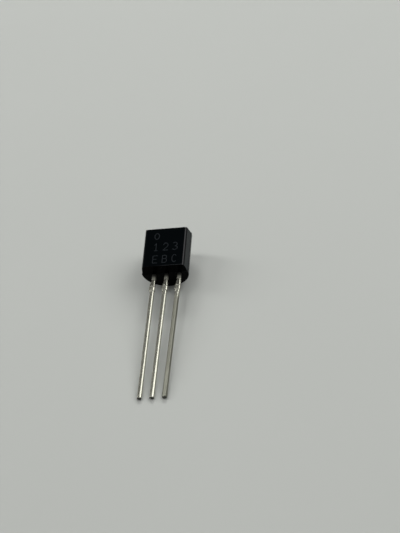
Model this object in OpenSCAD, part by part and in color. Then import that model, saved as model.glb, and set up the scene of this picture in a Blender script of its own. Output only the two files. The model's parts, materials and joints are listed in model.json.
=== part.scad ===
// Three-lead transistor in a moulded D-shaped package, lying on its round back and lead tips.
//
// The shapes are drawn in the package's own axes: x across the body, y up the body from the face that the
// leads leave, and z out of the flat face, with z = 0 on the mould's parting plane, which is also the front
// of the lead frame. at_rest() then lays the part down: +Z up, leads towards -Y, origin on the surface under
// the middle of the whole part.

/* [Moulded body] */
// Width across the body at the parting line
body_w = 4.58; // [4.4:0.01:5.2]
// Height from the lead face to the far end, at the parting line
body_h = 4.78; // [4.4:0.01:5.4]
// Depth of the front half, from the parting plane to the flat face
front_depth = 1.10; // [0.9:0.01:1.4]
// How far each side leans in over the front half
side_flare = 0.185; // [0.05:0.005:0.4]
// Radius of the long edges beside the flat face
edge_r = 0.30; // [0.05:0.01:0.4]
// Draft of the front half's two end faces, in degrees
front_draft = 5; // [2:0.5:8]
// Straight band of the back half, before its round back begins
band_depth = 0.05; // [0.01:0.01:0.3]
// Draft of the back half's two end faces, in degrees
back_draft = 4.2; // [2:0.1:7]
// Step between the two mould halves along the parting line
parting_step = 0.03; // [0.01:0.01:0.06]

/* [Leads] */
// Spacing of the leads where they leave the body
lead_pitch = 1.27; // [1.2:0.01:1.35]
// Length of the leads below the body
lead_len = 13.95; // [12:0.05:16]
// How far the lead frame sits to one side of the body's middle
frame_shift = 0.12; // [-0.15:0.01:0.15]
// Width of a lead over most of its length
lead_w = 0.45; // [0.36:0.01:0.5]
// Thickness of the lead frame, with its tin coat
lead_t = 0.38; // [0.3:0.01:0.48]
// Width of a lead where it leaves the body
neck_w = 0.38; // [0.32:0.01:0.46]
// Length of that narrow neck below the body
neck_len = 0.60; // [0.3:0.05:1]
// Distance from the body to the stubs of the dam bar that was sheared away
stub_y = 1.50; // [1.3:0.05:2]
// Width of a lead across its stubs
stub_w = 0.58; // [0.52:0.01:0.7]
// Length of the stubs
stub_len = 0.40; // [0.2:0.05:0.8]
// Length over which a lead widens to its stubs and narrows after them
taper_len = 0.12; // [0.05:0.01:0.25]
// Sideways lean of the left lead, at its tip
emitter_lean = -0.18; // [-0.5:0.01:0.5]
// Sideways lean of the middle lead, at its tip
base_lean = -0.27; // [-0.5:0.01:0.5]
// Sideways lean of the right lead, at its tip
collector_lean = -0.35; // [-0.5:0.01:0.5]

/* [Lead frame inside the body] */
// Gap between neighbouring stampings
frame_gap = 0.26; // [0.2:0.01:0.32]
// Height of the middle lead's neck, up to its T-shaped post
post_y = 0.75; // [0.5:0.05:0.9]
// Width of the middle lead's post
post_w = 1.10; // [0.7:0.05:1.2]
// Height of the middle lead's post
post_h = 0.50; // [0.4:0.05:0.7]
// Height of the chip paddle
paddle_h = 1.90; // [1.6:0.05:2.1]
// Height that the left lead's post reaches above the paddle's lower edge
hook_rise = 1.15; // [0.9:0.05:1.4]
// Width of the barb that locks the left lead's post in the epoxy
hook_w = 0.42; // [0.2:0.02:0.5]
// Height of that barb
hook_h = 0.60; // [0.3:0.05:0.8]
// Diameter of the paddle's locking hole
lock_d = 0.50; // [0.3:0.05:0.6]
// Distance of the locking hole's centre from the paddle's top and right edges
lock_inset = 0.48; // [0.42:0.02:0.6]

/* [Chip and bond wires] */
// Side of the square chip
die_w = 0.50; // [0.3:0.02:0.6]
// Thickness of the chip
die_t = 0.20; // [0.12:0.01:0.3]
// Thickness of the layer that fixes the chip
attach_t = 0.03; // [0.02:0.005:0.05]
// How far that layer shows round the chip
attach_rim = 0.03; // [0.01:0.01:0.08]
// Distance of the chip's centre from the middle lead's line
die_offset = 0.05; // [-0.1:0.05:0.3]
// Height of the chip's centre above the paddle's lower edge
die_rise = 0.85; // [0.6:0.05:1]
// Distance of each bond pad from the chip's centre
pad_offset = 0.11; // [0.06:0.01:0.13]
// Diameter of the bond wire
wire_d = 0.038; // [0.025:0.001:0.05]
// Height of the wire loops above the chip
loop_h = 0.24; // [0.15:0.01:0.4]
// Diameter of the ball at the chip end of a wire
ball_d = 0.09; // [0.07:0.005:0.1]
// Height of that ball
ball_h = 0.03; // [0.02:0.005:0.04]
// Length of the flattened stitch at the post end of a wire, as a multiple of the wire
stitch_ratio = 2.5; // [1.5:0.5:4]

/* [Hidden] */
$fn = 96;
arc_steps = 8;
wire_sides = 8;
wire_steps = 12;

// The body: its round back, and how far the end faces lean in
back_r = body_w / 2;
back_depth = band_depth + back_r;
back_inset = back_depth * tan(back_draft);
front_w = body_w - 2 * parting_step;
flat_w = front_w - 2 * side_flare;
front_inset = front_depth * tan(front_draft);

// The lead frame: the leads' lines, the middle post, then the paddle above it, between the outer necks
emitter_x = frame_shift - lead_pitch;
base_x = frame_shift;
collector_x = frame_shift + lead_pitch;
post_top = post_y + post_h;
paddle_y = post_top + frame_gap;
paddle_top = paddle_y + paddle_h;
paddle_left = emitter_x + neck_w / 2 + frame_gap;
paddle_right = collector_x + neck_w / 2;
hook_top = paddle_y + hook_rise;

// The chip and its wires
die_x = base_x + die_offset;
die_y = paddle_y + die_rise;
die_top = attach_t + die_t;
emitter_pad = [die_x - pad_offset, die_y + pad_offset, die_top];
base_pad = [die_x - pad_offset, die_y - pad_offset, die_top];
emitter_stitch = [emitter_x, hook_top - hook_h / 2, 0];
base_stitch = [base_x, post_y + post_h / 2, 0];

// A bond wire's form: the ball's outline as shares of its height and width, the two control points of the
// loop as shares of its height and run, and how far the wire's first ring stands above the ball
ball_outline = [[0, 0.8], [0.3, 1], [0.7, 1], [1, 0.8]];
over_chip_rise = 4 / 3;
over_post_rise = 0.9;
over_post_back = 0.45;
ring_lift = ball_h / 4;

// At rest the round back's lower edge and the back edges of the lead tips touch the surface
rest_tilt = atan((back_depth - lead_t) / (lead_len + back_inset));
rest_z = back_depth * cos(rest_tilt) - back_inset * sin(rest_tilt);
far_y = max(body_h * cos(rest_tilt),
    (body_h - back_inset) * cos(rest_tilt) + back_depth * sin(rest_tilt));
near_y = -lead_len * cos(rest_tilt);
rest_y = -(far_y + near_y) / 2;

epoxy_black = "#17181a";
tin_silver = "#c8c6bc";
solder_grey = "#8f9197";
silicon_grey = "#555b66";
wire_gold = "#d8b24c";

// Lays the part down in the frame that the file is written in
module at_rest() {
    translate([0, rest_y, rest_z]) rotate([rest_tilt, 0, 0]) children();
}

// Draws a profile whose axes are x and z, and runs it up the body
module up_the_body() {
    translate([0, body_h, 0]) rotate([90, 0, 0]) linear_extrude(height = body_h) children();
}

// Draws a profile whose axes are y and z, and runs it across the body
module across_the_body() {
    translate([-body_w, 0, 0]) rotate([90, 0, 90]) linear_extrude(height = 2 * body_w) children();
}

// The front half's outline seen from the leads: leaning sides and rounded long edges
module front_profile() {
    lean = atan(side_flare / front_depth);
    // The rounding starts this far from the sharp corner, and turns through the angle between the faces
    setback = edge_r * tan((90 - lean) / 2);
    centre = [flat_w / 2 - setback, front_depth - edge_r];
    corner = [for (i = [0:arc_steps]) let (a = lean + (90 - lean) * i / arc_steps)
        centre + edge_r * [cos(a), sin(a)]];
    mirrored = [for (i = [arc_steps:-1:0]) [-corner[i][0], corner[i][1]]];
    polygon(concat([[-front_w / 2, 0], [front_w / 2, 0]], corner, mirrored));
}

// One half of the body seen from the side: the end faces lean in by inset over depth
module end_profile(start, inset, depth) {
    polygon([[start, 0], [body_h - start, 0], [body_h - start - inset, depth], [start + inset, depth]]);
}

module front_half() {
    intersection() {
        up_the_body() front_profile();
        across_the_body() end_profile(parting_step, front_inset, front_depth);
    }
}

// A straight band at the parting line, then half a cylinder
module back_half() {
    intersection() {
        up_the_body() {
            translate([-back_r, -band_depth]) square([body_w, band_depth]);
            intersection() {
                translate([0, -band_depth]) circle(r = back_r);
                translate([-body_w, -back_depth - back_r])
                    square([2 * body_w, back_depth + back_r - band_depth]);
            }
        }
        across_the_body() end_profile(0, back_inset, -back_depth);
    }
}

// A stamping, drawn by its outline in x and y
module stamping() {
    translate([0, 0, -lead_t]) linear_extrude(height = lead_t) children();
}

// The two sides of a lead below the body, leaning sideways by lean at its tip: down the right, up the left
function shank(lead_x, lean) = let (
        stub_end = stub_y + stub_len,
        side = [[neck_w, 0], [neck_w, neck_len], [lead_w, stub_y - taper_len], [stub_w, stub_y],
            [stub_w, stub_end], [lead_w, stub_end + taper_len], [lead_w, lead_len]],
        last = len(side) - 1)
    concat([for (p = side) [lead_x + lean * p[1] / lead_len + p[0] / 2, -p[1]]],
        [for (i = [last:-1:0]) let (p = side[i]) [lead_x + lean * p[1] / lead_len - p[0] / 2, -p[1]]]);

// The left lead: a post beside the paddle, with a barb towards the body's side
module emitter_shape() {
    left = emitter_x - neck_w / 2;
    stamping() polygon(concat(shank(emitter_x, emitter_lean), [
        [left, hook_top - hook_h], [left - hook_w, hook_top - hook_h],
        [left - hook_w, hook_top], [left + neck_w, hook_top]]));
}

// The middle lead: a T-shaped post below the paddle
module base_shape() {
    post = [[-neck_w / 2, post_y], [-post_w / 2, post_y], [-post_w / 2, post_top],
        [post_w / 2, post_top], [post_w / 2, post_y], [neck_w / 2, post_y]];
    stamping() polygon(concat(shank(base_x, base_lean), [for (p = post) p + [base_x, 0]]));
}

// The right lead: the paddle that carries the chip, with a hole that the epoxy fills
module collector_shape() {
    stamping() difference() {
        polygon(concat(shank(collector_x, collector_lean), [
            [collector_x - neck_w / 2, paddle_y], [paddle_left, paddle_y],
            [paddle_left, paddle_top], [paddle_right, paddle_top]]));
        translate([paddle_right - lock_inset, paddle_top - lock_inset]) circle(d = lock_d);
    }
}

// A square plate centred on the chip's place, from height z0
module chip_layer(side, z0, height) {
    translate([die_x - side / 2, die_y - side / 2, z0]) cube([side, side, height]);
}

module attach_shape() {
    chip_layer(die_w + 2 * attach_rim, 0, attach_t);
}

module die_shape() {
    chip_layer(die_w, attach_t, die_t);
}

// A point of the curve that leaves a upwards and comes down to d
function curve(a, b, c, d, t) =
    pow(1 - t, 3) * a + 3 * pow(1 - t, 2) * t * b + 3 * (1 - t) * t * t * c + t * t * t * d;
function slope(a, b, c, d, t) =
    3 * pow(1 - t, 2) * (b - a) + 6 * (1 - t) * t * (c - b) + 3 * t * t * (d - c);
function ring(centre, side, over) = [for (k = [0:wire_sides - 1]) let (a = 360 * k / wire_sides)
    centre + cos(a) * side + sin(a) * over];

// A bond wire: a ball on the chip, a loop, and a flattened stitch on the post
module bond_wire(pad, stitch) {
    run = [stitch[0] - pad[0], stitch[1] - pad[1], 0];
    along = run / norm(run);
    side = [-along[1], along[0], 0];
    start = pad + [0, 0, ball_h];
    over_chip = start + [0, 0, over_chip_rise * loop_h];
    over_post = stitch - over_post_back * run + [0, 0, over_post_rise * loop_h];
    ball = [for (p = ball_outline)
        ring(pad + [0, 0, p[0] * ball_h], p[1] * ball_d / 2 * side, -p[1] * ball_d / 2 * along)];
    loop = [for (i = [0:wire_steps - 1]) let (
            t = i / wire_steps,
            v = slope(start, over_chip, over_post, stitch, t),
            over = cross(v / norm(v), side))
        ring(curve(start, over_chip, over_post, stitch, t) + [0, 0, i == 0 ? ring_lift : 0],
            wire_d / 2 * side, wire_d / 2 * over)];
    foot = [ring(stitch, wire_d / 2 * side, stitch_ratio * wire_d / 2 * along)];
    rings = concat(ball, loop, foot);
    last = len(rings) - 1;
    points = [for (r = rings) each r];
    walls = [for (i = [0:last - 1], k = [0:wire_sides - 1]) let (
            a = i * wire_sides + k,
            b = i * wire_sides + (k + 1) % wire_sides)
        each [[a, b + wire_sides, b], [a, a + wire_sides, b + wire_sides]]];
    caps = [[for (k = [0:wire_sides - 1]) k], [for (k = [wire_sides - 1:-1:0]) last * wire_sides + k]];
    polyhedron(points = points, faces = concat(walls, caps), convexity = 4);
}

module moulded_body() {
    color(epoxy_black) at_rest() difference() {
        union() {
            front_half();
            back_half();
        }
        emitter_shape();
        base_shape();
        collector_shape();
        attach_shape();
        die_shape();
        bond_wire(emitter_pad, emitter_stitch);
        bond_wire(base_pad, base_stitch);
    }
}

module emitter_lead() {
    color(tin_silver) at_rest() emitter_shape();
}

module base_lead() {
    color(tin_silver) at_rest() base_shape();
}

module collector_lead() {
    color(tin_silver) at_rest() collector_shape();
}

module die_attach() {
    color(solder_grey) at_rest() attach_shape();
}

module silicon_die() {
    color(silicon_grey) at_rest() die_shape();
}

module emitter_wire() {
    color(wire_gold) at_rest() bond_wire(emitter_pad, emitter_stitch);
}

module base_wire() {
    color(wire_gold) at_rest() bond_wire(base_pad, base_stitch);
}

moulded_body();
emitter_lead();
base_lead();
collector_lead();
die_attach();
silicon_die();
emitter_wire();
base_wire();
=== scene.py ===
"""Dresses a three-lead transistor in a moulded D-shaped package that lies flat side up on a pale surface.

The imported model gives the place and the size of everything. Each sub-assembly is a class that builds its
meshes in the package's own axes, in millimetres: x across the body, y up the body from the face that the
leads leave, z out of the flat. PackageAxes then lays them down in the row frame, in metres.
"""

import json
import logging
import math
import random
from dataclasses import dataclass, field
from enum import Enum
from functools import cache, reduce
from typing import Any, Sequence, Union

import bmesh
import bpy
from mathutils import Matrix, Quaternion, Vector


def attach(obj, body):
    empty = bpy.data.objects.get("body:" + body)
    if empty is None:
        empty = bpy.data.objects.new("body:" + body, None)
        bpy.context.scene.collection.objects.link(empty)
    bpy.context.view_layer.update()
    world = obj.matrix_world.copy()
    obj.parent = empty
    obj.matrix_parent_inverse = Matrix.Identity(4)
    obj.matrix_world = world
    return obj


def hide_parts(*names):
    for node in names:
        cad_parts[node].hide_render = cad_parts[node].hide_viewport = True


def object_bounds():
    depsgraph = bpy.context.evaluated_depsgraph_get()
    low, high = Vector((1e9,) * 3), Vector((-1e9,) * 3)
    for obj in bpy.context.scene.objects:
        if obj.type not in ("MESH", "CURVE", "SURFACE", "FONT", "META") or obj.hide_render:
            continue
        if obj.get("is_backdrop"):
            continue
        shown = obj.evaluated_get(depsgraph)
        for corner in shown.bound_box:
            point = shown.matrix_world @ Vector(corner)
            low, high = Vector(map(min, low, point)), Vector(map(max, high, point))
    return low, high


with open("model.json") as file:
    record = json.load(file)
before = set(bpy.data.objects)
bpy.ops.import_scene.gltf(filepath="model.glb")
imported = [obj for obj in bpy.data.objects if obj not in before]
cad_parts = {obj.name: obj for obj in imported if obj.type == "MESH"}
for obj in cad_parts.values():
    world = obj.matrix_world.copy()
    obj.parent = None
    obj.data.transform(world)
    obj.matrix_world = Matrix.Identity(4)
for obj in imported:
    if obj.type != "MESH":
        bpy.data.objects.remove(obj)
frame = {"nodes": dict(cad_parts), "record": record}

Colour = tuple[float, float, float]
Point2 = tuple[float, float]
Stops = tuple[Point2, ...]
Shell = bmesh.types.BMesh
Mesh = bpy.types.Mesh
Node = bpy.types.Node
Piece = bpy.types.Object
Socket = bpy.types.NodeSocket
Tree = bpy.types.NodeTree
Value = Union[float, int, bool, str, Sequence[float], Socket]

log = logging.getLogger("transistor")

MM = 0.001
BODY = "root"
MOUNTS = {mount["name"]: mount for mount in frame["record"]["mounts"]}
BLACK: Colour = (0.0, 0.0, 0.0)

# Distances in millimetres under which two points count as one, on a built mesh and on a CAD mesh.
WELD, CAD_WELD = 1e-5, 1e-4
# Values of the noise between which the flash goes from its lowest to its full height.
RAGGED_SPAN: Point2 = (0.35, 0.70)
# Distance past the shear line over which the metal turns raw, in millimetres.
SHEAR_FADE = 0.03
# How much shorter the tin's ripple is round a lead than along it.
RIPPLE_SQUEEZE = 1.6
# Least and greatest size of a laser bead, as shares of its diameter.
BEAD_SIZES: Point2 = (0.82, 1.1)


# --- Places and sizes ---

@dataclass(frozen=True)
class PackageAxes:
    """The package's own axes as they lie in the row frame.

    Attributes:
        tilt: How far the package is turned about the row's X, in radians.
        origin: Where the package's own origin lies in the row frame, in millimetres.
    """

    tilt: float
    origin: tuple[float, float, float]

    @classmethod
    def from_mounts(cls, lead_thickness: float) -> "PackageAxes":
        """Works the axes out from the flat face and the row of leads.

        Args:
            lead_thickness: Thickness of the lead frame, in millimetres.

        Returns:
            The axes whose y runs against the leads and whose z runs out of the flat.
        """
        normal = Vector(MOUNTS["flat"]["axis"])
        origin = Vector(MOUNTS["leads"]["pos_m"]) / MM + normal * (lead_thickness / 2)
        return cls(math.atan2(-normal.y, normal.z), (0.0, origin.y, origin.z))

    @property
    def to_row(self) -> Matrix:
        """The matrix from package millimetres to row metres."""
        return Matrix.Scale(MM, 4) @ Matrix.Translation(self.origin) @ Matrix.Rotation(self.tilt, 4, "X")

    @property
    def to_package(self) -> Matrix:
        """The matrix from row metres to package millimetres."""
        return self.to_row.inverted()

    def node_box(self, node: str) -> tuple[Vector, Vector]:
        """Measures a CAD node along the package's axes.

        Args:
            node: Name of the node.

        Returns:
            Its lowest and highest corner, in package millimetres.
        """
        points = [self.to_package @ vertex.co for vertex in frame["nodes"][node].data.vertices]
        low, high = (Vector(end(point[axis] for point in points) for axis in range(3)) for end in (min, max))
        return low, high


class LeadName(Enum):
    """The three leads, from left to right when the flat side is up and the leads point at the viewer."""

    EMITTER = "emitter_lead"
    BASE = "base_lead"
    COLLECTOR = "collector_lead"


def arc(centre: Point2, radius: Point2, start: float, end: float, steps: int = 10) -> list[Point2]:
    """Points of an elliptic arc.

    Args:
        centre: Its centre.
        radius: Its radii across and up.
        start: Where it starts, in degrees.
        end: Where it ends, in degrees.
        steps: Steps between.

    Returns:
        The points, in order.
    """
    turn = [math.radians(start + (end - start) * i / steps) for i in range(steps + 1)]
    return [(centre[0] + radius[0] * math.cos(a), centre[1] + radius[1] * math.sin(a)) for a in turn]


def between(stops: Stops, at: float) -> float:
    """Reads a value off a row of stops.

    Args:
        stops: Rising distances, each with its value.
        at: The distance to read at.

    Returns:
        The value there, on a straight line between the two nearest stops.
    """
    if at <= stops[0][0]:
        return stops[0][1]
    for (a, first), (b, second) in zip(stops, stops[1:]):
        if at <= b:
            return first + (second - first) * (at - a) / (b - a)
    return stops[-1][1]


# --- Node trees ---

class Graph:
    """A node tree in the making: adds nodes, and sets or links their inputs.

    Attributes:
        tree: The tree.
    """

    def __init__(self, tree: Tree) -> None:
        """Wraps a tree."""
        self.tree = tree

    def node(self, kind: str, inputs: dict[Union[str, int], Value] | None = None, **settings: Any) -> Node:
        """Adds a node.

        Args:
            kind: The node's type name.
            inputs: Socket name or number to a value, or to a socket to link from.
            **settings: The node's own properties.

        Returns:
            The new node.
        """
        made = self.tree.nodes.new(kind)
        for name, value in settings.items():
            setattr(made, name, value)
        for key, value in (inputs or {}).items():
            self.feed(made.inputs[key], value)
        return made

    def feed(self, socket: Socket, value: Value) -> None:
        """Links a socket to another, or sets its value.

        Args:
            socket: The socket.
            value: The value, or the socket to link from.
        """
        if isinstance(value, Socket):
            self.tree.links.new(value, socket)
        else:
            socket.default_value = value

    def math(self, operation: str, *values: Value, clamp: bool = False) -> Socket:
        """Adds a Math node on the given values and returns its result."""
        made = self.node("ShaderNodeMath", dict(enumerate(values)), operation=operation, use_clamp=clamp)
        return made.outputs[0]

    def times(self, *factors: Value) -> Value:
        """Multiplies values."""
        return reduce(lambda first, other: self.math("MULTIPLY", first, other), factors)

    def vector(self, operation: str, *values: Value) -> Socket:
        """Adds a Vector Math node on the given vectors and returns its vector."""
        made = self.node("ShaderNodeVectorMath", dict(enumerate(values)), operation=operation)
        return made.outputs["Vector"]

    def scaled(self, vector: Value, factor: Value) -> Socket:
        """Scales a vector by a number."""
        made = self.node("ShaderNodeVectorMath", {0: vector, "Scale": factor}, operation="SCALE")
        return made.outputs["Vector"]

    def combine(self, x: Value, y: Value, z: Value) -> Socket:
        """Joins three numbers into a vector."""
        return self.node("ShaderNodeCombineXYZ", {0: x, 1: y, 2: z}).outputs[0]

    def separate(self, vector: Value) -> Sequence[Socket]:
        """Splits a vector into its three numbers."""
        return self.node("ShaderNodeSeparateXYZ", {0: vector}).outputs

    def span(self, value: Value, low: float, high: float, to_low: float = 0.0,
             to_high: float = 1.0) -> Socket:
        """Maps a value smoothly from one span to another.

        Args:
            value: The value to map.
            low: Where the span starts.
            high: Where the span ends.
            to_low: What low becomes.
            to_high: What high becomes.

        Returns:
            The mapped value, held between to_low and to_high.
        """
        return self.node("ShaderNodeMapRange", {"Value": value, "From Min": low, "From Max": high,
                                                "To Min": to_low, "To Max": to_high},
                         interpolation_type="SMOOTHSTEP").outputs["Result"]

    def band(self, value: Value, rise: Point2, fall: Point2) -> Value:
        """Gives 1 where a value lies between two spans, and 0 outside them."""
        return self.times(self.span(value, *rise), self.span(value, *fall, 1.0, 0.0))

    def mix_colour(self, share: Value, first: Value, second: Value) -> Socket:
        """Mixes two colours by a share between 0 and 1."""
        ends = [(*end, 1.0) if isinstance(end, tuple) else end for end in (first, second)]
        return self.node("ShaderNodeMix", {0: share, 6: ends[0], 7: ends[1]}, data_type="RGBA").outputs[2]

    def mix_value(self, share: Value, first: Value, second: Value) -> Socket:
        """Mixes two numbers by a share between 0 and 1."""
        return self.node("ShaderNodeMix", {0: share, 2: first, 3: second}, data_type="FLOAT").outputs[0]

    def noise(self, vector: Value, scale: Value, detail: float, roughness: float = 0.5,
              distortion: float = 0.0, seed: Value | None = None) -> Socket:
        """Adds noise between 0 and 1.

        Args:
            vector: Where it is read.
            scale: How many features it has in one unit.
            detail: How many finer layers it has.
            roughness: How strong those are.
            distortion: How far it is twisted.
            seed: Its seed, which makes it four-dimensional.

        Returns:
            The noise.
        """
        fed = {"Vector": vector, "Scale": scale, "Detail": detail, "Roughness": roughness,
               "Distortion": distortion}
        if seed is None:
            return self.node("ShaderNodeTexNoise", fed).outputs[0]
        return self.node("ShaderNodeTexNoise", {**fed, "W": seed}, noise_dimensions="4D").outputs[0]

    def per_mm(self, size: Value) -> Socket:
        """The texture scale, in metres, whose features have that size in millimetres."""
        return self.math("DIVIDE", 1.0, self.times(size, MM))

    def capture(self, geometry: Value, **values: Socket) -> Sequence[Socket]:
        """Holds values on a geometry as they are at this point of the tree.

        Args:
            geometry: The geometry.
            **values: Name to value.

        Returns:
            The node's outputs: the geometry first, then each value by its name.
        """
        held = self.node("GeometryNodeCaptureAttribute", {"Geometry": geometry})
        for name, value in values.items():
            held.capture_items.new("VECTOR" if value.type == "VECTOR" else "FLOAT", name)
            self.feed(held.inputs[name], value)
        return held.outputs

    def sweep(self, curve: Value, sides: Value, caps: bool) -> tuple[Socket, Socket, Socket]:
        """Sweeps a unit circle along a curve, for its points to be set afterwards.

        Args:
            curve: The curve.
            sides: Sides of the circle.
            caps: Whether the ends are closed.

        Returns:
            The swept mesh, then its points' places on the unit circle and on the curve.
        """
        place = self.node("GeometryNodeInputPosition").outputs[0]
        path = self.capture(curve, Centre=place)
        circle = self.node("GeometryNodeCurvePrimitiveCircle", {"Resolution": sides, "Radius": 1.0})
        profile = self.capture(circle.outputs["Curve"], Unit=place)
        swept = self.node("GeometryNodeCurveToMesh", {"Curve": path[0], "Profile Curve": profile[0],
                                                      "Fill Caps": caps})
        return swept.outputs[0], profile["Unit"], path["Centre"]

    def close(self, geometry: Value, material: Value, gives: Socket) -> Tree:
        """Ends a Geometry Nodes tree in Realize Instances and Set Material.

        Args:
            geometry: What the tree has made.
            material: The material that it takes.
            gives: The socket of its output.

        Returns:
            The finished tree.
        """
        real = self.node("GeometryNodeRealizeInstances", {"Geometry": geometry})
        clad = self.node("GeometryNodeSetMaterial", {"Geometry": real.outputs[0], "Material": material})
        self.feed(gives, clad.outputs[0])
        return self.tree


def new_group(name: str, kind: str, takes: dict[str, Union[float, int, str]],
              gives: dict[str, str]) -> tuple[Graph, Sequence[Socket], Sequence[Socket]]:
    """Starts a node group with named inputs and outputs.

    Args:
        name: The group's name.
        kind: ShaderNodeTree or GeometryNodeTree.
        takes: Input name to its first value, or to its kind where it has none.
        gives: Output name to its kind.

    Returns:
        The graph, the sockets that its inputs come out of, and the sockets that its outputs go into.
    """
    tree = bpy.data.node_groups.new(name, kind)
    for label, start in takes.items():
        socket_kind = start if isinstance(start, str) else {float: "Float", int: "Int"}[type(start)]
        socket = tree.interface.new_socket(name=label, in_out="INPUT", socket_type="NodeSocket" + socket_kind)
        if not isinstance(start, str):
            socket.default_value = start
    for label, socket_kind in gives.items():
        tree.interface.new_socket(name=label, in_out="OUTPUT", socket_type="NodeSocket" + socket_kind)
    graph = Graph(tree)
    return graph, graph.node("NodeGroupInput").outputs, graph.node("NodeGroupOutput").inputs


# --- Effects that several finishes share ---

class Effects:
    """The shader node groups, each built once and placed in a material with its own values.

    Attributes:
        SPECK_RADIUS: Where a speck ends in its cell.
        SPECK_SHARE: Share of the cells that hold a speck when Specks is 1.
        EDGE_SPAN: Likeness of a rounded normal to the true one at which an edge is worn and is untouched.
        BREAK_SPAN: Values of the noise between which wear goes from broken off to full.
        BREAK_SHARE: How much of the wear breaks off.
        SMUDGE_GAIN: How much Contrast raises the patches.
    """

    SPECK_RADIUS = 0.45
    SPECK_SHARE = 0.3
    EDGE_SPAN: Point2 = (0.90, 0.995)
    BREAK_SPAN: Point2 = (0.35, 0.65)
    BREAK_SHARE = 0.65
    SMUDGE_GAIN = 3.0

    @staticmethod
    @cache
    def grain() -> Tree:
        """Fine grain: a height for Bump, and a mask of scattered specks.

        Returns:
            The group.
        """
        graph, takes, gives = new_group("grain", "ShaderNodeTree",
                                        {"Vector": "Vector", "Size": 0.05, "Specks": 0.5},
                                        {"Height": "Float", "Specks": "Float"})
        scale = graph.per_mm(takes["Size"])
        graph.feed(gives["Height"], graph.noise(takes["Vector"], scale, detail=3.0, roughness=0.6))
        cells = graph.node("ShaderNodeTexVoronoi", {"Vector": takes["Vector"], "Scale": scale})
        speck = graph.span(cells.outputs["Distance"], 0.0, Effects.SPECK_RADIUS, 1.0, 0.0)
        chance = graph.node("ShaderNodeSeparateColor", {0: cells.outputs["Color"]}).outputs[0]
        kept = graph.math("LESS_THAN", chance, graph.times(takes["Specks"], Effects.SPECK_SHARE))
        graph.feed(gives["Specks"], graph.times(speck, kept))
        return graph.tree

    @staticmethod
    @cache
    def wear() -> Tree:
        """Edge wear: a mask that is 1 on worn convex edges, broken up by noise.

        Returns:
            The group.
        """
        graph, takes, gives = new_group("edge wear", "ShaderNodeTree",
                                        {"Vector": "Vector", "Width": 0.1, "Break Size": 0.3},
                                        {"Mask": "Float"})
        rounded = graph.node("ShaderNodeBevel", {"Radius": graph.times(takes["Width"], MM)}, samples=4)
        facing = graph.node("ShaderNodeNewGeometry").outputs["Normal"]
        across = graph.node("ShaderNodeVectorMath", {0: rounded.outputs[0], 1: facing},
                            operation="DOT_PRODUCT").outputs["Value"]
        edge = graph.span(across, *Effects.EDGE_SPAN, 1.0, 0.0)
        noise = graph.noise(takes["Vector"], graph.per_mm(takes["Break Size"]), detail=4.0)
        broken = graph.mix_value(Effects.BREAK_SHARE, 1.0, graph.span(noise, *Effects.BREAK_SPAN))
        graph.feed(gives["Mask"], graph.times(edge, broken))
        return graph.tree

    @staticmethod
    @cache
    def smudge() -> Tree:
        """Broad soft patches, as handling leaves them: a mask between 0 and 1.

        Returns:
            The group.
        """
        graph, takes, gives = new_group("smudge", "ShaderNodeTree",
                                        {"Vector": "Vector", "Size": 2.0, "Contrast": 0.5}, {"Mask": "Float"})
        noise = graph.noise(takes["Vector"], graph.per_mm(takes["Size"]), detail=5.0, distortion=0.6)
        gain = graph.times(takes["Contrast"], Effects.SMUDGE_GAIN)
        graph.feed(gives["Mask"], graph.math("MULTIPLY_ADD", graph.math("SUBTRACT", noise, 0.5), gain, 0.5,
                                             clamp=True))
        return graph.tree


# --- Finishes ---

@dataclass(frozen=True)
class Smudge:
    """Soft patches on a finish.

    Attributes:
        size: Their size, in millimetres.
        contrast: How strong they are, between 0 and 1.
    """

    size: float
    contrast: float


@dataclass(frozen=True)
class Grain:
    """Fine grain on a finish.

    Attributes:
        size: Its size, in millimetres.
        specks: How many specks it has, between 0 and 1.
        depth: How deep it is, in millimetres.
    """

    size: float
    specks: float
    depth: float


@dataclass(frozen=True, kw_only=True)
class Finish:
    """A finish, as the material that carries it.

    Attributes:
        name: The material's name.
        slot: The record's material slot that it stands for; not used.
        smudge: Its soft patches.
        grain: Its grain.
        metallic: How metallic it is, between 0 and 1.
        specular: How strongly it reflects, where 0.5 is plain plastic.
    """

    name: str
    slot: str
    smudge: Smudge | None = None
    grain: Grain | None = None
    metallic: float = 0.0
    specular: float = 0.5

    def build(self) -> bpy.types.Material:
        """Makes the material, or gives the one already made.

        Returns:
            The material.
        """
        known = bpy.data.materials.get(self.name)
        if known is not None:
            return known
        material = bpy.data.materials.new(self.name)
        material.use_nodes = True
        shader = material.node_tree.nodes["Principled BSDF"]
        graph = Graph(material.node_tree)
        place = graph.node("ShaderNodeTexCoord").outputs["Object"]
        looks = {"Metallic": self.metallic, "Specular IOR Level": self.specular}
        masks = {}
        if self.smudge:
            placed = graph.node("ShaderNodeGroup", {"Vector": place, "Size": self.smudge.size,
                                                    "Contrast": self.smudge.contrast},
                                node_tree=Effects.smudge())
            masks["smudge"] = placed.outputs["Mask"]
        if self.grain:
            placed = graph.node("ShaderNodeGroup", {"Vector": place, "Size": self.grain.size,
                                                    "Specks": self.grain.specks}, node_tree=Effects.grain())
            masks["height"], masks["specks"] = placed.outputs["Height"], placed.outputs["Specks"]
            looks["Normal"] = graph.node("ShaderNodeBump", {"Height": masks["height"],
                                                            "Distance": self.grain.depth * MM}).outputs[0]
        looks.update(self.dress(graph, place, masks))
        for socket, value in looks.items():
            graph.feed(shader.inputs[socket], value)
        return material

    def dress(self, graph: Graph, place: Socket, masks: dict[str, Socket]) -> dict[str, Value]:
        """Works out what the shader's sockets get.

        Args:
            graph: The material's graph.
            place: The Object coordinates.
            masks: The finish's smudge mask, and its grain's height and specks.

        Returns:
            Socket name to value.
        """
        raise NotImplementedError


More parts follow.
